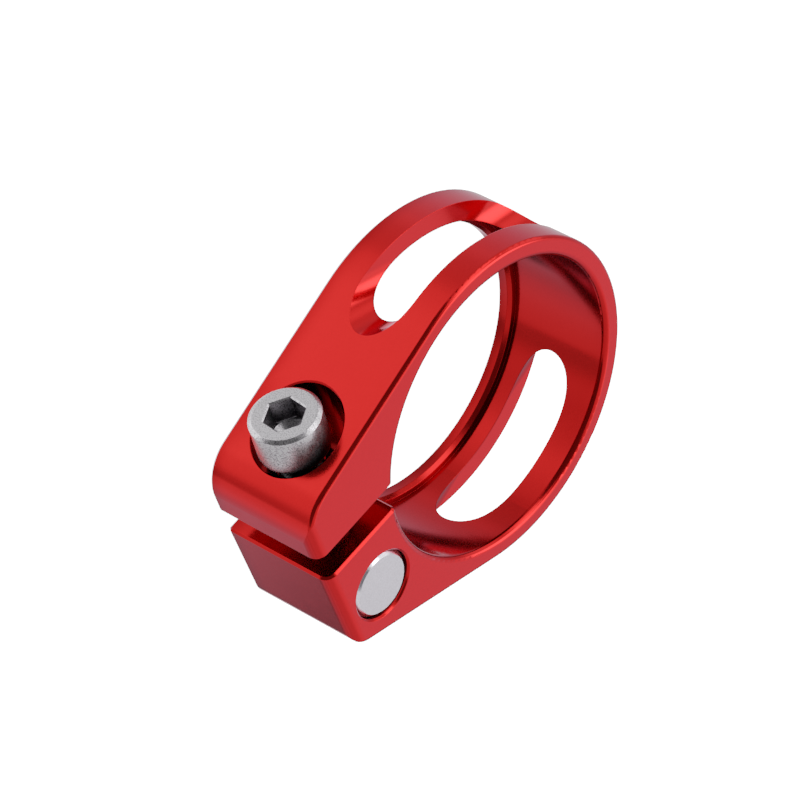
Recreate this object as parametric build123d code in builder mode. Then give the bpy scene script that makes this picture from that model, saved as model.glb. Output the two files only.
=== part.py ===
from build123d import *
import os
from math import cos, radians, sin, tan

# Seatpost clamp: a slit aluminium collar, drawn shut by a socket head screw that
# threads into a barrel nut. All sizes are in millimetres and degrees.
#
# The bore runs along Z, with the lip that stops on the seat tube's end at Z = 0.
# The lugs point along -Y, and the screw runs along X with its head towards -X.

# Ring
bore_dia = 34.9
ring_wall = 2.3
ring_width = 14.5
mouth_radius = 0.65
mouth_edge_radius = 0.5
lip_edge_chamfer = 0.35

# Lip at the lower end of the bore
lip_dia = 32.8
lip_height = 1.5
lip_chamfer = 0.4

# Lugs: the flanks leave the ring at a tangent and close in towards the nose
flank_angle = 19.0
nose_reach = 28.9
head_nose_slope = 3.0
nut_nose_slope = 4.5
head_nose_radius = 5.2
nut_nose_radius = 2.9
nose_edge_radius = 1.4

# Slit between the lugs, set towards the head side and a little out of square
slit_width = 3.3
slit_offset = 2.83
slit_tilt = 3.0
slit_edge_chamfer = 0.25

# Grooves with a full-round floor, milled straight across both sides of the ring
groove_width = 7.2
groove_floor_reach = 13.45
groove_angle = 18.4

# Screw, on a line square to the middle plane between the flanks. It lies at a share of the
# way from the bore to the nose, which leaves metal on both sides of the barrel nut. It is
# shown slack, as sold: the head stands clear of its seat in the pocket.
screw_share = 0.4105
thread_dia = 5.0
screw_length = 20.0
screw_tip_chamfer = 0.6
head_dia = 8.0
head_height = 5.0
head_rim_chamfer = 0.35
head_neck_chamfer = 0.2
head_foot_chamfer = 0.2
head_lift = 1.85
hex_across_flats = 4.05
hex_depth = 3.0
hex_lead_in = 0.15
hex_turn = -5.0
drill_point_depth = 1.1

# Screw hole through both lugs, and the head's pocket, set a little towards the ring
screw_hole_clearance = 0.45
pocket_dia = 10.4
pocket_shift = 0.95
pocket_floor_reach = 10.1
pocket_rim_chamfer = 0.15

# Barrel nut, in a bore through the nut-side lug
nut_dia = 8.0
nut_offset = 6.6
nut_recess = 0.15
nut_end_chamfer = 0.5
nut_bore_clearance = 0.08
nut_bore_rim_chamfer = 0.2
thread_clearance = 0.06

# Values that follow from the sizes above
bore_radius = bore_dia / 2
outer_radius = bore_radius + ring_wall
mid_height = ring_width / 2
screw_drop = bore_radius + screw_share * (nose_reach - bore_radius)
nut_length = ring_width - 2 * nut_recess
nut_bore_radius = nut_dia / 2 + nut_bore_clearance
head_seat = -pocket_floor_reach - head_lift


def flank_start(side):
    """Point where a flank leaves the ring; side is -1 for the head's lug and 1 for the nut's."""
    a = radians(flank_angle)
    return (side * outer_radius * cos(a), -outer_radius * sin(a))


def nose_corner(side, slope, apex):
    """Point where the nose line from the apex, rising at the slope, meets the flank."""
    a = radians(flank_angle)
    rise = side * tan(radians(slope))
    # Flank: side * x * cos(a) - y * sin(a) = outer_radius. Nose: y = apex y + rise * (x - apex x).
    x = (outer_radius + (apex[1] - rise * apex[0]) * sin(a)) / (side * cos(a) - rise * sin(a))
    return (x, apex[1] + rise * (x - apex[0]))


nose_apex = (
    -slit_offset + (nose_reach - screw_drop) * tan(radians(slit_tilt)),
    -nose_reach,
)
head_corner = nose_corner(-1, -head_nose_slope, nose_apex)
nut_corner = nose_corner(1, nut_nose_slope, nose_apex)


# Collar: ring, lugs, lip, grooves and holes, all cut from one blank
with BuildPart() as collar:
    with BuildSketch() as blank_outline:
        Circle(outer_radius)
        with BuildLine():
            Polyline(
                flank_start(-1), head_corner, nose_apex, nut_corner, flank_start(1), close=True
            )
        make_face()
        near_head_corner = blank_outline.vertices().sort_by_distance(head_corner)[0]
        fillet(near_head_corner, head_nose_radius)
        near_nut_corner = blank_outline.vertices().sort_by_distance(nut_corner)[0]
        fillet(near_nut_corner, nut_nose_radius)
    extrude(amount=ring_width)
    end_faces = collar.faces().filter_by(Axis.Z).sort_by(Axis.Z)
    fillet(end_faces[-1].edges(), mouth_edge_radius)
    chamfer(end_faces[0].edges(), lip_edge_chamfer)

    # At the mouth's end the nose's edge is rounder, and runs out where its corners turn away
    for side, corner in ((-1, head_corner), (1, nut_corner)):
        along = Vector(corner) - Vector(nose_apex)
        outward = along.cross(Vector(0, 0, side))
        with BuildSketch(Plane(origin=(*nose_apex, ring_width), x_dir=outward, z_dir=along)):
            Rectangle(2 * nose_edge_radius, 2 * nose_edge_radius)
            with Locations((-nose_edge_radius, side * nose_edge_radius)):
                Circle(nose_edge_radius, mode=Mode.SUBTRACT)
        extrude(amount=along.length, mode=Mode.SUBTRACT)

    # Bore with a rounded mouth, down to the lip
    with BuildSketch(Plane.XY.offset(lip_height)):
        Circle(bore_radius)
    extrude(amount=ring_width - lip_height, mode=Mode.SUBTRACT)
    mouth = collar.faces().sort_by(Axis.Z)[-1].edges().filter_by(GeomType.CIRCLE)
    fillet(mouth.sort_by(SortBy.LENGTH)[-1], mouth_radius)
    with BuildSketch():
        Circle(lip_dia / 2)
    extrude(amount=lip_height, mode=Mode.SUBTRACT)
    lip_face = collar.faces().filter_by(Axis.Z).sort_by(Axis.Z)[1]
    chamfer(lip_face.edges().sort_by(SortBy.LENGTH)[0], lip_chamfer)

    # Grooves: the full-round floor lies on a chord and breaks through into the bore
    groove_reach = outer_radius - groove_floor_reach + groove_width
    for side in (-1, 1):
        outward = (side * cos(radians(groove_angle)), sin(radians(groove_angle)), 0)
        along = (-side * outward[1], side * outward[0], 0)
        groove_plane = Plane(origin=(0, 0, mid_height), x_dir=outward, z_dir=along)
        with BuildSketch(groove_plane):
            with Locations((groove_floor_reach + groove_reach / 2, 0)):
                SlotOverall(groove_reach, groove_width)
        extrude(amount=outer_radius, both=True, mode=Mode.SUBTRACT)

    # Slit through the lugs into the bore
    with BuildSketch():
        with Locations(Location((-slit_offset, -screw_drop), slit_tilt)):
            Rectangle(slit_width, 2 * screw_drop)
    extrude(amount=ring_width, mode=Mode.SUBTRACT)
    across_slit = Axis((0, 0, 0), (cos(radians(slit_tilt)), sin(radians(slit_tilt)), 0))
    slit_edges = collar.faces().filter_by(across_slit).edges()
    chamfer(slit_edges.filter_by_position(Axis.Y, -nose_reach, -bore_radius), slit_edge_chamfer)

    # Pocket for the head in the head-side flank, and the screw hole through both lugs
    pocket_floor = Plane(
        origin=(-pocket_floor_reach, -screw_drop, mid_height), x_dir=(0, 1, 0), z_dir=(-1, 0, 0)
    )
    with BuildSketch(pocket_floor):
        with Locations((pocket_shift, 0)):
            Circle(pocket_dia / 2)
    extrude(amount=outer_radius, mode=Mode.SUBTRACT)
    pocket_curves = collar.edges(Select.LAST).filter_by(GeomType.LINE, reverse=True)
    chamfer(pocket_curves.filter_by(Plane.YZ, reverse=True), pocket_rim_chamfer)
    with Locations(pocket_floor):
        Hole(thread_dia / 2 + screw_hole_clearance)

    # Bore for the barrel nut, along the ring's axis, with a countersink at both ends
    for height, outward in ((ring_width, 1), (0, -1)):
        with Locations(Plane((nut_offset, -screw_drop, height), z_dir=(0, 0, outward))):
            CounterSinkHole(
                nut_bore_radius, nut_bore_radius + nut_bore_rim_chamfer, counter_sink_angle=90
            )
collar.part.label = "collar"

# Barrel nut: a cross dowel with a threaded hole through its middle
with BuildPart() as barrel_nut:
    with BuildSketch(Plane.XY.offset(nut_recess)):
        with Locations((nut_offset, -screw_drop)):
            Circle(nut_dia / 2)
    extrude(amount=nut_length)
    chamfer(barrel_nut.edges().filter_by(GeomType.CIRCLE), nut_end_chamfer)
    with BuildSketch(Plane.YZ.offset(nut_offset)):
        with Locations((-screw_drop, mid_height)):
            Circle(thread_dia / 2 + thread_clearance)
    extrude(amount=nut_dia, both=True, mode=Mode.SUBTRACT)
barrel_nut.part.label = "barrel_nut"

# Screw: cylindrical head with a hexagon socket that ends in a drill point
seat_plane = Plane(origin=(head_seat, -screw_drop, mid_height), x_dir=(0, 0, 1), z_dir=(-1, 0, 0))
with BuildPart() as clamp_bolt:
    with BuildSketch(seat_plane):
        Circle(head_dia / 2)
    extrude(amount=head_height)
    head_edges = clamp_bolt.edges().filter_by(GeomType.CIRCLE).sort_by(Axis.X)
    chamfer(head_edges[0], head_rim_chamfer)
    chamfer(head_edges[-1], head_foot_chamfer)
    with BuildSketch(seat_plane):
        Circle(thread_dia / 2)
    extrude(amount=-screw_length)
    tip_edge = clamp_bolt.edges().filter_by(GeomType.CIRCLE).sort_by(Axis.X)[-1]
    chamfer(tip_edge, screw_tip_chamfer)
    neck_edge = clamp_bolt.edges().filter_by(GeomType.CIRCLE).sort_by_distance(seat_plane.origin)[0]
    chamfer(neck_edge, head_neck_chamfer)
    with BuildSketch(seat_plane.offset(head_height)):
        RegularPolygon(hex_across_flats / 2, 6, major_radius=False, rotation=hex_turn)
    extrude(amount=-hex_depth, mode=Mode.SUBTRACT)
    drill_point_middle = head_height - hex_depth - drill_point_depth / 2
    with Locations(seat_plane.offset(drill_point_middle)):
        Cone(0, hex_across_flats / 2, drill_point_depth, mode=Mode.SUBTRACT)
    socket_mouth = clamp_bolt.faces().sort_by(Axis.X)[0].inner_wires()[0].edges()
    chamfer(socket_mouth, hex_lead_in)
clamp_bolt.part.label = "clamp_bolt"

os.makedirs("parts", exist_ok=True)
for piece in (collar, barrel_nut, clamp_bolt):
    export_step(piece.part, f"parts/{piece.part.label}.step")
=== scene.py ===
import math

import bmesh
import bpy
import numpy as np
from bpy.props import FloatProperty, FloatVectorProperty, IntProperty, PointerProperty
from mathutils import Matrix, Vector


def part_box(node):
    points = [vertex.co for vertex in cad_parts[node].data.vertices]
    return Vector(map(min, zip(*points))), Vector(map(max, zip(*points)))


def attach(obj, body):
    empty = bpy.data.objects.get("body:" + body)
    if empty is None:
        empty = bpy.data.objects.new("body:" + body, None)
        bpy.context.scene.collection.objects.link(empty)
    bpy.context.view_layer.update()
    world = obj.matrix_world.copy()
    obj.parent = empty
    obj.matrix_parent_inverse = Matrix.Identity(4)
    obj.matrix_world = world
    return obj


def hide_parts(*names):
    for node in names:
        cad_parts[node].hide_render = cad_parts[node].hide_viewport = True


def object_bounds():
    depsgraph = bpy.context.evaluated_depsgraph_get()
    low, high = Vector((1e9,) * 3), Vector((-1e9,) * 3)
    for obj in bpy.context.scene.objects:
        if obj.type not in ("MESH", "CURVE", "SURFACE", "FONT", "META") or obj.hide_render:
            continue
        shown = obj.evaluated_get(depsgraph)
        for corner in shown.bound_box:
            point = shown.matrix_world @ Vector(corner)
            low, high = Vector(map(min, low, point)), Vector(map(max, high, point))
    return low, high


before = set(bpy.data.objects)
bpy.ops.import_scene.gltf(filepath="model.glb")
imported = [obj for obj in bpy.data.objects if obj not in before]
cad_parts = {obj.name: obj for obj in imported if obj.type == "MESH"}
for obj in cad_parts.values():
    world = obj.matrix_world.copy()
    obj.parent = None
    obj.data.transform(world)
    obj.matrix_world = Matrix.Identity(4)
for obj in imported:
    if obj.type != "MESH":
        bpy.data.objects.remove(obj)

bl_info = {
    "name": "Seatpost Clamp",
    "version": (1, 0, 0),
    "blender": (4, 5, 0),
    "location": "View3D > Sidebar > Seatpost Clamp",
    "description": "Dresses the packed seatpost clamp and sets up its studio",
    "category": "Object",
}

MM = 0.001
CAD_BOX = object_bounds()
SCREW_LOW, SCREW_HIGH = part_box("clamp_bolt")
NUT_LOW, NUT_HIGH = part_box("barrel_nut")
NUT_BEVEL = 0.5 * MM
BORE_RADIUS = 17.45 * MM


# Sizes and colours a user would change


class CollarFinish(bpy.types.PropertyGroup):
    dye: FloatVectorProperty(
        name="Dye",
        description="Colour of the anodised aluminium seen face on",
        subtype="COLOR",
        size=3,
        min=0.0,
        max=1.0,
        default=(0.55, 0.011, 0.010),
    )
    edge_tint: FloatVectorProperty(
        name="Edge Tint",
        description="Tint of what the anodised aluminium reflects at a low angle",
        subtype="COLOR",
        size=3,
        min=0.0,
        max=1.0,
        default=(1.0, 0.78, 0.88),
    )
    roughness: FloatProperty(
        name="Roughness",
        description="Middle roughness of the satin surface",
        min=0.0,
        max=1.0,
        default=0.15,
    )
    grain: FloatProperty(
        name="Grain",
        description="Width of one grain of the etched surface",
        unit="LENGTH",
        default=0.14 * MM,
    )
    edge_radius: FloatProperty(
        name="Edge Radius",
        description="Radius that the shading gives to edges that are sharp in the solid",
        unit="LENGTH",
        default=0.09 * MM,
    )


class SteelFinish(bpy.types.PropertyGroup):
    pit_size: FloatProperty(
        name="Pit Size",
        description="Width of the fine pits in the screw and the barrel nut",
        unit="LENGTH",
        default=0.15 * MM,
    )
    screw_pits: FloatVectorProperty(
        name="Screw Pits",
        description="Colour down in the pits of the screw's steel",
        subtype="COLOR",
        size=3,
        min=0.0,
        max=1.0,
        default=(0.16, 0.15, 0.165),
    )
    screw_steel: FloatVectorProperty(
        name="Screw Steel",
        description="Colour of the screw's steel between its pits",
        subtype="COLOR",
        size=3,
        min=0.0,
        max=1.0,
        default=(0.5, 0.48, 0.505),
    )
    nut_pits: FloatVectorProperty(
        name="Nut Pits",
        description="Colour down in the pits of the barrel nut's steel",
        subtype="COLOR",
        size=3,
        min=0.0,
        max=1.0,
        default=(0.36, 0.34, 0.38),
    )
    nut_steel: FloatVectorProperty(
        name="Nut Steel",
        description="Colour of the barrel nut's steel between its pits",
        subtype="COLOR",
        size=3,
        min=0.0,
        max=1.0,
        default=(0.47, 0.45, 0.495),
    )


class ScrewSizes(bpy.types.PropertyGroup):
    head_height: FloatProperty(
        name="Head Height",
        description="Height of the cylindrical head",
        unit="LENGTH",
        default=5.0 * MM,
    )
    head_bevel: FloatProperty(
        name="Head Bevel",
        description="Bevel round the top of the head",
        unit="LENGTH",
        default=0.35 * MM,
    )
    thread_diameter: FloatProperty(
        name="Thread Diameter",
        description="Diameter over the thread's crests",
        unit="LENGTH",
        default=5.0 * MM,
    )
    pitch: FloatProperty(
        name="Pitch",
        description="Distance from one turn of the thread to the next",
        unit="LENGTH",
        default=0.8 * MM,
    )
    hexagon: FloatProperty(
        name="Hexagon",
        description="Width of the hexagon socket across its flats",
        unit="LENGTH",
        default=4.05 * MM,
    )
    socket_depth: FloatProperty(
        name="Socket Depth",
        description="Depth of the hexagon below the top of the head",
        unit="LENGTH",
        default=3.0 * MM,
    )
    drill_depth: FloatProperty(
        name="Drill Depth",
        description="Depth of the drill's point below the hexagon",
        unit="LENGTH",
        default=1.1 * MM,
    )
    socket_turn: FloatProperty(
        name="Socket Turn",
        description="Angle of a corner of the hexagon from the Z axis",
        subtype="ANGLE",
        default=math.radians(-5.0),
    )
    columns: IntProperty(
        name="Columns",
        description="Steps round the screw; a multiple of six puts one on each corner",
        default=144,
    )


class StageSettings(bpy.types.PropertyGroup):
    tent: FloatProperty(
        name="Tent",
        description="Brightness of the white tent round the clamp",
        default=1.54,
    )
    floor_glow: FloatProperty(
        name="Floor Glow",
        description="Light that comes through the white floor from below",
        default=3.4,
    )
    floor_size: FloatProperty(
        name="Floor Size",
        description="Side of the square floor",
        unit="LENGTH",
        default=6.0,
    )


# Node helpers. Each returns the output that the next node reads.


def new_material(name):
    """A material with an empty node tree but its output and one Principled shader."""
    material = bpy.data.materials.new(name)
    material.use_nodes = True
    tree = material.node_tree
    tree.nodes.clear()
    output = tree.nodes.new("ShaderNodeOutputMaterial")
    shader = tree.nodes.new("ShaderNodeBsdfPrincipled")
    tree.links.new(shader.outputs["BSDF"], output.inputs["Surface"])
    return material, tree, shader


def feed(tree, socket, value):
    """Links a socket to another node's output, or sets it to a fixed value."""
    if isinstance(value, bpy.types.NodeSocket):
        tree.links.new(value, socket)
    else:
        socket.default_value = value


def maths(tree, operation, first, second):
    """One operation on two numbers."""
    node = tree.nodes.new("ShaderNodeMath")
    node.operation = operation
    feed(tree, node.inputs[0], first)
    feed(tree, node.inputs[1], second)
    return node.outputs["Value"]


def vector_maths(tree, operation, first, second):
    """One operation on two vectors."""
    node = tree.nodes.new("ShaderNodeVectorMath")
    node.operation = operation
    feed(tree, node.inputs[0], first)
    feed(tree, node.inputs[1], second)
    return node.outputs["Value" if operation == "DOT_PRODUCT" else "Vector"]


def scaled(tree, colour, share):
    """A colour times a share of it."""
    node = tree.nodes.new("ShaderNodeVectorMath")
    node.operation = "SCALE"
    feed(tree, node.inputs["Vector"], colour)
    feed(tree, node.inputs["Scale"], share)
    return node.outputs["Vector"]


def noise(tree, coordinates, size, detail=2.0, roughness=0.5):
    """Noise whose lumps are about size metres wide."""
    node = tree.nodes.new("ShaderNodeTexNoise")
    node.inputs["Scale"].default_value = 1.0 / size
    node.inputs["Detail"].default_value = detail
    node.inputs["Roughness"].default_value = roughness
    tree.links.new(coordinates, node.inputs["Vector"])
    return node.outputs["Fac"]


def noise_along(tree, distance, size):
    """Noise that changes with one distance only, in steps about size metres wide."""
    node = tree.nodes.new("ShaderNodeTexNoise")
    node.noise_dimensions = "1D"
    node.inputs["Scale"].default_value = 1.0 / size
    node.inputs["Detail"].default_value = 2.0
    tree.links.new(distance, node.inputs["W"])
    return node.outputs["Fac"]


def remap(tree, value, low, high, start=0.3, end=0.7, interpolation="LINEAR"):
    """The value's range from start to end, carried to low and high. Noise lies mostly in the
    range that is given here."""
    node = tree.nodes.new("ShaderNodeMapRange")
    node.interpolation_type = interpolation
    node.inputs["From Min"].default_value = start
    node.inputs["From Max"].default_value = end
    node.inputs["To Min"].default_value = low
    node.inputs["To Max"].default_value = high
    tree.links.new(value, node.inputs["Value"])
    return node.outputs["Result"]


def blend_colours(tree, factor, first, second):
    """Mixes two fixed colours by the factor."""
    node = tree.nodes.new("ShaderNodeMix")
    node.data_type = "RGBA"
    # The node's inputs and outputs for colours come after those for numbers and vectors
    node.inputs[6].default_value = (*first, 1.0)
    node.inputs[7].default_value = (*second, 1.0)
    tree.links.new(factor, node.inputs[0])
    return node.outputs[2]


def bump(tree, height, depth, normal=None):
    """A bump of that depth in metres, on the normal given."""
    node = tree.nodes.new("ShaderNodeBump")
    node.inputs["Strength"].default_value = 1.0
    node.inputs["Distance"].default_value = depth
    tree.links.new(height, node.inputs["Height"])
    if normal is not None:
        tree.links.new(normal, node.inputs["Normal"])
    return node.outputs["Normal"]


def softened_edges(tree, radius):
    """Normals rounded over the edges by that radius."""
    node = tree.nodes.new("ShaderNodeBevel")
    node.samples = 6
    node.inputs["Radius"].default_value = radius
    return node.outputs["Normal"]


def painted_hollow_shade(tree, colour, reach, least):
    """Painted shade: darkens a colour, down to its least share, where other surfaces close in
    within reach.
    """
    open_sky = tree.nodes.new("ShaderNodeAmbientOcclusion")
    open_sky.samples = 8
    open_sky.inputs["Distance"].default_value = reach
    share = remap(tree, open_sky.outputs["AO"], least, 1.0, start=0.3, end=0.8)
    return scaled(tree, colour, share)


def object_coordinates(tree):
    """A point's place in the object, in metres."""
    return tree.nodes.new("ShaderNodeTexCoord").outputs["Object"]


def distance_from_axis(tree, place, axis):
    """Distance of a point from the upright line through axis, an x and a y."""
    moved = vector_maths(tree, "SUBTRACT", place, (*axis, 0.0))
    flat = vector_maths(tree, "MULTIPLY", moved, (1.0, 1.0, 0.0))
    length = tree.nodes.new("ShaderNodeVectorMath")
    length.operation = "LENGTH"
    tree.links.new(flat, length.inputs[0])
    return length.outputs["Value"]


# Materials

# The anodising: shares of the dye's colour in its grain and its bore, the share left by the
# painted shade in its hollows and how far that shade reaches, where the bore's share fades out,
# and the bump of its grain
GRAIN_SHARE = 0.86
BORE_SHARE = 0.72
PAINTED_SHADE_SHARE = 0.2
PAINTED_SHADE_REACH = 3.5 * MM
BORE_FADE = (BORE_RADIUS + 0.05 * MM, BORE_RADIUS + 0.3 * MM)
CLOUD_SIZE = 3.0 * MM
GRAIN_DEPTH = 0.0016 * MM

# The screw's steel: how rough it is in its pits and between them, and the share left by the
# painted shade in its hollows and how far that shade reaches
SCREW_PIT_EDGE = (0.4, 0.52)
SCREW_PIT_DEPTH = 0.006 * MM
SCREW_ROUGHNESS = (0.36, 0.26)
SCREW_CLOUD_SIZE = 1.2 * MM
SCREW_PAINTED_SHADE_SHARE = 0.1
SCREW_PAINTED_SHADE_REACH = 3.0 * MM

# The barrel nut's steel: its lathe rings, and how much brighter and smoother its bevel is
LATHE_RING = 0.09 * MM
LATHE_DEPTH = 0.003 * MM
NUT_PIT_DEPTH = 0.004 * MM
NUT_ROUGHNESS = (0.42, 0.34)
NUT_BEVEL_GAIN = 1.8
NUT_BEVEL_ROUGHNESS = 0.5
NUT_BEVEL_FADE = 0.02 * MM


def anodised_aluminium(finish):
    """Satin red anodising: an etched metal with a clear dyed layer over it, darker in the bore,
    and painted shade in its hollows.
    """
    material, tree, shader = new_material("anodised_red")
    place = object_coordinates(tree)
    grain = noise(tree, place, finish.grain, detail=3.0)
    cloud = noise(tree, place, CLOUD_SIZE, detail=3.0)
    dye = tuple(finish.dye)
    deep = tuple(channel * GRAIN_SHARE for channel in dye)
    colour = blend_colours(tree, remap(tree, grain, 0.0, 1.0), deep, dye)
    # Painted shade: the red darkens where other surfaces close in, as in the slit, the grooves and
    # the pocket
    shaded = painted_hollow_shade(tree, colour, PAINTED_SHADE_REACH, PAINTED_SHADE_SHARE)
    from_axis = distance_from_axis(tree, place, (0.0, 0.0))
    bored = scaled(tree, shaded, remap(tree, from_axis, BORE_SHARE, 1.0, *BORE_FADE))
    tree.links.new(bored, shader.inputs["Base Color"])
    middle = finish.roughness
    grain_rough = remap(tree, grain, middle - 0.04, middle + 0.04)
    rough = maths(tree, "ADD", grain_rough, remap(tree, cloud, -0.02, 0.02))
    tree.links.new(rough, shader.inputs["Roughness"])
    edges = softened_edges(tree, finish.edge_radius)
    tree.links.new(bump(tree, grain, GRAIN_DEPTH, edges), shader.inputs["Normal"])
    shader.inputs["Metallic"].default_value = 1.0
    shader.inputs["Specular Tint"].default_value = (*finish.edge_tint, 1.0)
    return material


def stainless_steel(finish):
    """The screw's steel: fine pits, a soft scatter from tumbling, and painted shade in its socket
    and hollows.
    """
    material, tree, shader = new_material("screw_stainless")
    place = object_coordinates(tree)
    pits = noise(tree, place, finish.pit_size, detail=4.0, roughness=0.7)
    cloud = noise(tree, place, SCREW_CLOUD_SIZE)
    smooth = remap(tree, pits, 0.0, 1.0, *SCREW_PIT_EDGE)
    colour = blend_colours(tree, smooth, finish.screw_pits, finish.screw_steel)
    # Painted shade: the steel darkens where other surfaces close in, as down the socket
    shaded = painted_hollow_shade(tree, colour, SCREW_PAINTED_SHADE_REACH, SCREW_PAINTED_SHADE_SHARE)
    tree.links.new(shaded, shader.inputs["Base Color"])
    pit_rough = remap(tree, pits, *SCREW_ROUGHNESS)
    rough = maths(tree, "ADD", pit_rough, remap(tree, cloud, -0.04, 0.04))
    tree.links.new(rough, shader.inputs["Roughness"])
    tree.links.new(bump(tree, pits, SCREW_PIT_DEPTH), shader.inputs["Normal"])
    shader.inputs["Metallic"].default_value = 1.0
    return material


def turned_steel(finish):
    """The barrel nut's steel: rings left by the lathe round its own axis, a matt bloom on its
    ends and a bright turned bevel."""
    material, tree, shader = new_material("nut_turned_steel")
    place = object_coordinates(tree)
    centre = (NUT_LOW + NUT_HIGH) / 2
    radius = distance_from_axis(tree, place, (centre.x, centre.y))
    rings = noise_along(tree, radius, LATHE_RING)
    pits = noise(tree, place, finish.pit_size, detail=3.0)
    bevel_start = (NUT_HIGH.x - NUT_LOW.x) / 2 - NUT_BEVEL
    bevel_fade = (bevel_start - NUT_BEVEL_FADE, bevel_start + NUT_BEVEL_FADE)
    matt = blend_colours(tree, remap(tree, pits, 0.0, 1.0), finish.nut_pits, finish.nut_steel)
    colour = scaled(tree, matt, remap(tree, radius, 1.0, NUT_BEVEL_GAIN, *bevel_fade))
    tree.links.new(colour, shader.inputs["Base Color"])
    on_bevel = remap(tree, radius, 1.0, NUT_BEVEL_ROUGHNESS, *bevel_fade)
    rough = maths(tree, "MULTIPLY", remap(tree, pits, *NUT_ROUGHNESS), on_bevel)
    tree.links.new(rough, shader.inputs["Roughness"])
    turned = bump(tree, rings, LATHE_DEPTH)
    tree.links.new(bump(tree, pits, NUT_PIT_DEPTH, turned), shader.inputs["Normal"])
    shader.inputs["Metallic"].default_value = 1.0
    return material


# Meshes

MERGE_DISTANCE = 1e-8
SHARP_ANGLE = math.radians(24.0)


def dress_node(node, material):
    """Gives a CAD node its finish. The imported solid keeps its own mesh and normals."""
    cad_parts[node].material_slots[0].material = material


def mesh_from_grid(name, points):
    """A mesh from points[row, column]: neighbours are joined into quads, and each row is closed
    into a ring."""
    rows, columns, _ = points.shape
    row, column = np.meshgrid(np.arange(rows - 1), np.arange(columns), indexing="ij")
    following = (column + 1) % columns
    quads = np.stack(
        [
            row * columns + column,
            row * columns + following,
            (row + 1) * columns + following,
            (row + 1) * columns + column,
        ],
        axis=-1,
    ).reshape(-1, 4)
    mesh = bpy.data.meshes.new(name)
    mesh.vertices.add(rows * columns)
    mesh.vertices.foreach_set("co", points.reshape(-1))
    mesh.loops.add(quads.size)
    mesh.loops.foreach_set("vertex_index", quads.reshape(-1))
    mesh.polygons.add(len(quads))
    mesh.polygons.foreach_set("loop_start", np.arange(len(quads)) * 4)
    mesh.update(calc_edges=True)
    mesh.validate()
    joined = bmesh.new()
    joined.from_mesh(mesh)
    bmesh.ops.remove_doubles(joined, verts=joined.verts, dist=MERGE_DISTANCE)
    bmesh.ops.recalc_face_normals(joined, faces=joined.faces)
    joined.to_mesh(mesh)
    joined.free()
    mesh.shade_smooth()
    mesh.set_sharp_from_angle(angle=SHARP_ANGLE)
    piece = bpy.data.objects.new(name, mesh)
    bpy.context.scene.collection.objects.link(piece)
    return piece


# The screw's small edges
SOCKET_LEAD = 0.15 * MM
SOCKET_FLOOR_EDGE = 0.06 * MM
DRILL_SHARE = 0.97
HEAD_EDGE = 0.1 * MM
HEAD_FOOT = 0.25 * MM
NECK = 0.2 * MM
TIP_CHAMFER = 0.6 * MM

# The thread: where it starts below the head, its depth as a share of the pitch, the shares of
# the pitch that its crest and root take, and the mesh's rows along one pitch
THREAD_START = 0.35 * MM
THREAD_DEPTH = 0.6134
CREST = 1 / 8
ROOT = 1 / 4
THREAD_ROWS = 14


def hexagon_radius(angle, half_width, turn):
    """Distance to a hexagon's side: half its width over the cosine of the angle from the middle
    of the nearest side."""
    from_middle = np.mod(angle - turn, math.pi / 3) - math.pi / 6
    return half_width / np.cos(from_middle)


def thread_profile(turns):
    """Height of a sixty degree thread, from 0 at the root to 1 at the crest, along one pitch:
    the crest, a flank, the root and a flank."""
    flank = (1 - CREST - ROOT) / 2
    part = np.mod(turns, 1.0)
    places = [0.0, CREST, CREST + flank, CREST + flank + ROOT, 1.0]
    return np.interp(part, places, [1.0, 1.0, 0.0, 0.0, 1.0])


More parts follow.
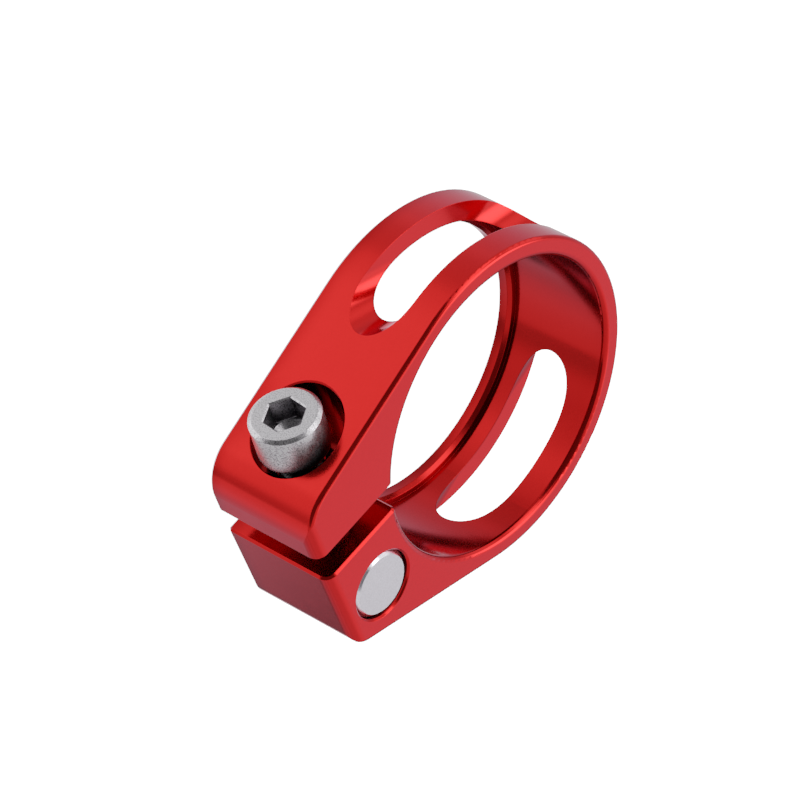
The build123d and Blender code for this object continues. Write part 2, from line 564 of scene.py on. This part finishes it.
def screw_surface(sizes):
    """Rows of rings carried along the screw, from the drill's point up the socket, over the head
    and down the thread to the tip. The radius is a hexagon's in the socket, a circle's outside,
    and on the shank the crest's less the depth times what the thread profile of x / pitch +
    angle / full turn leaves below it."""
    angle = sizes.socket_turn + np.arange(sizes.columns) * (2 * math.pi / sizes.columns)
    top, tip = SCREW_LOW.x, SCREW_HIGH.x
    seat = top + sizes.head_height

    def ring(radius):
        """One radius all the way round."""
        return np.full_like(angle, radius)

    def corner(x, radius, size, start, end, steps=4):
        """A rounded edge of that size, from the start to the end angle about its centre."""
        turn = np.linspace(start, end, steps)
        return [(x + size * math.sin(t), ring(radius + size * math.cos(t))) for t in turn]

    # The socket, from the drill's point up to the hexagon's mouth
    half = sizes.hexagon / 2
    wall = hexagon_radius(angle, half, sizes.socket_turn)
    mouth = hexagon_radius(angle, half + SOCKET_LEAD, sizes.socket_turn)
    floor = top + sizes.socket_depth
    drill = half * DRILL_SHARE
    rows = [
        (floor + sizes.drill_depth * (1 - step), ring(drill * step))
        for step in (0.0, 0.25, 0.5, 0.75, 1.0)
    ]
    rows += [(floor, wall - SOCKET_FLOOR_EDGE), (floor - SOCKET_FLOOR_EDGE, wall)]
    rows += [(floor + (top + SOCKET_LEAD - floor) * step, wall) for step in (0.33, 0.66, 1.0)]

    # The head: its top, a bevel between two soft edges, its side and its foot
    head_radius = (SCREW_HIGH.z - SCREW_LOW.z) / 2
    bevel = sizes.head_bevel
    rim = head_radius - bevel
    rows += [
        (top, mouth + (rim - HEAD_EDGE - mouth) * step)
        for step in (0.0, 0.1, 0.35, 0.6, 0.85, 1.0)
    ]
    bevel_end = top + bevel + HEAD_EDGE * 0.4
    rows += corner(top + HEAD_EDGE, rim - HEAD_EDGE, HEAD_EDGE, -math.pi / 2, -math.pi / 4)
    rows += corner(bevel_end, head_radius - HEAD_EDGE, HEAD_EDGE, -math.pi / 4, 0.0)
    side = sizes.head_height - bevel - HEAD_FOOT - HEAD_EDGE
    rows += [(top + bevel + side * step, ring(head_radius)) for step in (0.3, 0.6, 0.95)]
    rows += corner(seat - HEAD_FOOT, head_radius - HEAD_FOOT, HEAD_FOOT, 0.0, math.pi / 2, 5)

    # The head's seat and the curve of the neck
    outer = sizes.thread_diameter / 2
    rows += [(seat, ring(outer + 4 * NECK)), (seat, ring(outer + NECK))]
    rows += [(seat + 0.3 * NECK, ring(outer + 0.3 * NECK)), (seat + NECK, ring(outer))]

    # The thread, which grows over its first turn and ends in the tip's chamfer
    start = seat + THREAD_START
    along = np.linspace(start, tip, int((tip - start) / sizes.pitch * THREAD_ROWS))[:, None]
    grown = np.clip((along - start) / sizes.pitch, 0.0, 1.0)
    height = thread_profile(along / sizes.pitch + angle / (2 * math.pi))
    thread = outer - THREAD_DEPTH * sizes.pitch * grown * (1.0 - height)
    shank = np.minimum(thread, outer - TIP_CHAMFER + (tip - along))
    rows += list(zip(along[:, 0], shank))
    rows += [(tip, ring((outer - TIP_CHAMFER) * step)) for step in (0.6, 0.0)]

    x = np.array([row[0] for row in rows])[:, None] * np.ones_like(angle)
    radius = np.stack([row[1] for row in rows])
    middle = (SCREW_LOW + SCREW_HIGH) / 2
    return np.stack(
        [x, middle.y + radius * np.sin(angle), middle.z + radius * np.cos(angle)], axis=-1
    )


# Operators, one for each piece and one for the stage


class CollarPiece(bpy.types.Operator):
    """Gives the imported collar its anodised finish"""

    bl_idname = "seat_clamp.collar"
    bl_label = "Collar"

    def execute(self, context):
        dress_node("collar", anodised_aluminium(context.scene.collar_finish))
        return {"FINISHED"}


class ScrewPiece(bpy.types.Operator):
    """Makes the socket head screw with its thread and socket"""

    bl_idname = "seat_clamp.screw"
    bl_label = "Screw"

    def execute(self, context):
        screw = mesh_from_grid("screw_threaded", screw_surface(context.scene.screw_sizes))
        screw.data.materials.append(stainless_steel(context.scene.steel_finish))
        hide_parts("clamp_bolt")
        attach(screw, "clamp_bolt")
        return {"FINISHED"}


class NutPiece(bpy.types.Operator):
    """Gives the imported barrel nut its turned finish"""

    bl_idname = "seat_clamp.nut"
    bl_label = "Barrel Nut"

    def execute(self, context):
        dress_node("barrel_nut", turned_steel(context.scene.steel_finish))
        return {"FINISHED"}


class StudioStage(bpy.types.Operator):
    """Sets up the floor, the tent's light, the camera and the film curve"""

    bl_idname = "seat_clamp.stage"
    bl_label = "Stage"

    def execute(self, context):
        settings = context.scene.stage_settings
        make_floor(settings)
        light_tent(context.scene, settings)
        place_camera(context.scene)
        develop(context.scene.view_settings)
        return {"FINISHED"}


# Stage

# The film's curve: light that reaches it, and how bright it prints
FILM_WHITE = 3.2
FILM_CURVE = (
    (0.0, 0.0),
    (0.1, 0.11),
    (0.25, 0.235),
    (0.47, 0.39),
    (1.0, 0.58),
    (1.6, 0.70),
    (2.3, 0.83),
    (FILM_WHITE, 1.0),
)


def develop(view):
    """Prints the picture through a soft film curve, which holds back the reds' highlights."""
    view.view_transform = "Standard"
    view.look = "None"
    view.use_curve_mapping = True
    mapping = view.curve_mapping
    mapping.white_level = (FILM_WHITE, FILM_WHITE, FILM_WHITE)
    # The first three curves are for red, green and blue, and the fourth is for all three
    curve = mapping.curves[3]
    curve.points[0].location = FILM_CURVE[0]
    curve.points[1].location = (1.0, FILM_CURVE[-1][1])
    for light, printed in FILM_CURVE[1:-1]:
        curve.points.new(light / FILM_WHITE, printed)
    for point in curve.points:
        point.handle_type = "VECTOR"
    mapping.update()


def make_floor(settings):
    """A plain pale floor under the clamp's lower face."""
    half = settings.floor_size / 2
    corners = ((-half, -half), (half, -half), (half, half), (-half, half))
    mesh = bpy.data.meshes.new("floor")
    mesh.from_pydata([(x, y, CAD_BOX[0].z) for x, y in corners], [], [(0, 1, 2, 3)])
    floor = bpy.data.objects.new("floor", mesh)
    bpy.context.scene.collection.objects.link(floor)
    material, _, shader = new_material("floor_white")
    shader.inputs["Base Color"].default_value = (0.5, 0.5, 0.5, 1.0)
    shader.inputs["Roughness"].default_value = 0.9
    shader.inputs["Emission Color"].default_value = (1.0, 1.0, 1.0, 1.0)
    shader.inputs["Emission Strength"].default_value = settings.floor_glow
    mesh.materials.append(material)
    floor.visible_glossy = False


# Patches of the tent: the side of the camera that each lies on, in degrees to the right of the
# camera and above it as the picture stands, its inner and outer radius in degrees, and the
# light that it adds to the tent's own or takes away, as a share of it
TENT_PATCHES = (
    ("camera_side_dark", -18.0, -2.0, 47.0, 56.0, -0.87),
    ("strip_box_low", 78.3, 2.1, 5.2, 26.8, 5.6),
    ("strip_box_high", 94.2, 43.9, 8.4, 20.4, 1.05),
    ("front_box", 40.0, 44.2, 10.4, 19.3, 2.6),
    ("bevel_box", 50.0, 21.0, 6.0, 15.0, 4.0),
    ("edge_dark", 46.0, -11.0, 13.0, 18.0, -0.85),
    ("edge_box", 95.0, -25.0, 6.0, 14.0, 1.5),
    ("right_glow", 114.2, -23.9, 14.2, 43.8, 0.34),
    ("right_back_dim", 148.3, -31.8, 7.5, 33.2, -0.49),
    ("left_box", -90.1, 28.3, 13.3, 40.3, 1.03),
    ("left_far_box", -125.5, 27.6, 48.0, 56.0, 0.48),
    ("low_left_dim", -119.8, -33.6, 34.5, 50.0, -0.44),
    ("left_table", -138.6, -30.7, 42.2, 43.7, 0.6),
    ("left_back_dim", -162.0, -40.0, 8.0, 42.0, -0.6),
    ("nut_nose_dim", -165.0, -38.0, 12.2, 16.2, -0.4),
    ("top_dim", -76.3, 84.0, 8.3, 21.3, -0.48),
    ("behind_dim", 165.8, 16.5, 52.0, 64.0, -0.35),
    ("low_dim", 30.1, -88.1, 15.2, 44.9, -0.15),
)
TENT_LEAST = 0.05


def tent_direction(right_of_camera, above):
    """The direction of a patch in the model's frame, from its two angles in degrees."""
    right, up, back = camera_axes()
    turn, rise = math.radians(right_of_camera), math.radians(above)
    level = math.cos(rise)
    return right * (level * math.sin(turn)) + up * math.sin(rise) + back * (level * math.cos(turn))


def light_tent(scene, settings):
    """A white tent with a dark side where the camera stands and brighter and dimmer patches."""
    world = bpy.data.worlds.new("tent")
    scene.world = world
    world.use_nodes = True
    tree = world.node_tree
    direction = tree.nodes.new("ShaderNodeTexCoord").outputs["Generated"]
    light = 1.0
    for name, turn, rise, inner, outer, gain in TENT_PATCHES:
        facing = vector_maths(tree, "DOT_PRODUCT", direction, tent_direction(turn, rise))
        facing.node.label = name
        rim = (math.cos(math.radians(outer)), math.cos(math.radians(inner)))
        patch = remap(tree, facing, 0.0, gain, *rim, interpolation="SMOOTHSTEP")
        light = maths(tree, "ADD", patch, light)
    strength = maths(tree, "MULTIPLY", maths(tree, "MAXIMUM", light, TENT_LEAST), settings.tent)
    background = tree.nodes["Background"]
    background.inputs["Color"].default_value = (1.0, 1.0, 1.0, 1.0)
    tree.links.new(strength, background.inputs["Strength"])


# The camera's place, its two directions, and its lens and film width in millimetres
CAMERA_PLACE = Vector((-345.4, -201.25, 265.17)) * MM
CAMERA_RIGHT = Vector((0.2021, 0.6356, 0.7451))
CAMERA_VIEW = Vector((0.7263, 0.4131, -0.5494))
CAMERA_LENS = 198.07
CAMERA_FILM_WIDTH = 36.0


def camera_axes():
    """The camera's right, up and back directions in the model's frame."""
    back = -CAMERA_VIEW.normalized()
    right = (CAMERA_RIGHT - back * CAMERA_RIGHT.dot(back)).normalized()
    return right, back.cross(right), back


def place_camera(scene):
    """The camera at the photograph's place, rolled as it was held."""
    data = bpy.data.cameras.new("camera")
    data.lens = CAMERA_LENS
    data.sensor_width = CAMERA_FILM_WIDTH
    data.clip_start = 0.01
    data.clip_end = 20.0
    camera = bpy.data.objects.new("camera", data)
    scene.collection.objects.link(camera)
    turned = Matrix(camera_axes()).transposed().to_4x4()
    camera.matrix_world = Matrix.Translation(CAMERA_PLACE) @ turned
    scene.camera = camera


class SeatClampPanel(bpy.types.Panel):
    """Lists the clamp's finishes, sizes, pieces and stage"""

    bl_idname = "VIEW3D_PT_seat_clamp"
    bl_label = "Seatpost Clamp"
    bl_space_type = "VIEW_3D"
    bl_region_type = "UI"
    bl_category = "Seatpost Clamp"

    def draw(self, context):
        scene = context.scene
        groups = (scene.collar_finish, scene.steel_finish, scene.screw_sizes, scene.stage_settings)
        for settings in groups:
            box = self.layout.box()
            for name in settings.__annotations__:
                box.prop(settings, name)
        for piece in (CollarPiece, ScrewPiece, NutPiece, StudioStage):
            self.layout.operator(piece.bl_idname)


CLASSES = (
    CollarFinish,
    SteelFinish,
    ScrewSizes,
    StageSettings,
    CollarPiece,
    ScrewPiece,
    NutPiece,
    StudioStage,
    SeatClampPanel,
)


def register():
    for item in CLASSES:
        bpy.utils.register_class(item)
    bpy.types.Scene.collar_finish = PointerProperty(type=CollarFinish)
    bpy.types.Scene.steel_finish = PointerProperty(type=SteelFinish)
    bpy.types.Scene.screw_sizes = PointerProperty(type=ScrewSizes)
    bpy.types.Scene.stage_settings = PointerProperty(type=StageSettings)


def unregister():
    del bpy.types.Scene.stage_settings
    del bpy.types.Scene.screw_sizes
    del bpy.types.Scene.steel_finish
    del bpy.types.Scene.collar_finish
    for item in reversed(CLASSES):
        bpy.utils.unregister_class(item)


def main():
    register()
    bpy.ops.seat_clamp.collar()
    bpy.ops.seat_clamp.screw()
    bpy.ops.seat_clamp.nut()
    bpy.ops.seat_clamp.stage()


if __name__ == "__main__":
    main()
